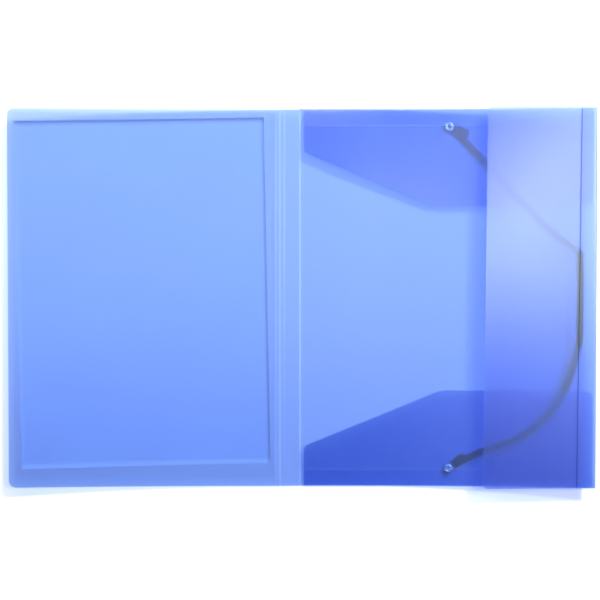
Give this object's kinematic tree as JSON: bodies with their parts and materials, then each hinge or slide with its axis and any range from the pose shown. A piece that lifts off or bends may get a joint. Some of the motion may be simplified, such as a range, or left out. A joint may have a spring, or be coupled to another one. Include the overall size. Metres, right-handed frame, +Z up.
{
  "type": "three flap folder",
  "caption": "Open A4 three flap folder of frosted sheet, with two end flaps tucked under a fore-edge flap and a slack elastic behind the back panel.",
  "frame": {"origin": "under the middle of the open folder, on the surface it lies on", "axes": "+X from the cover to the fore edge, +Y from the foot to the head of the sheet, +Z up out of the folder's inside"},
  "size_m": [0.4947, 0.32, 0.0207],
  "materials": {
    "frosted_sheet": "frosted, fine satin grain",
    "clear_film": "clear, smooth",
    "paper": "uncoated",
    "elastic": "flat woven elastic",
    "eyelet_metal": "plated"
  },
  "bodies": {
    "back": {"back_panel_and_end_flaps": "frosted_sheet", "elastic_band": "elastic", "top_eyelet": "eyelet_metal", "bottom_eyelet": "eyelet_metal"},
    "spine": {"spine_strip": "frosted_sheet"},
    "cover": {"cover_sheet": "frosted_sheet", "pocket_film": "clear_film", "insert_sheet": "paper"},
    "fore_edge": {"fore_edge_flap": "frosted_sheet"}
  },
  "joints": [
    {"name": "spine_hinge", "type": "hinge", "parent": "back", "child": "spine", "pos_m": [-0.00164, 0, 0.0005], "axis": [0, 1, 0], "range_deg": [0, 90]},
    {"name": "cover_hinge", "type": "hinge", "parent": "spine", "child": "cover", "pos_m": [-0.01864, 0, 0.0012], "axis": [0, 1, 0], "range_deg": [0, 85]},
    {"name": "fore_edge_hinge", "type": "hinge", "parent": "back", "child": "fore_edge", "pos_m": [0.24606, 0, 0.01185], "axis": [0, 1, 0], "range_deg": [0, 175]}
  ]
}
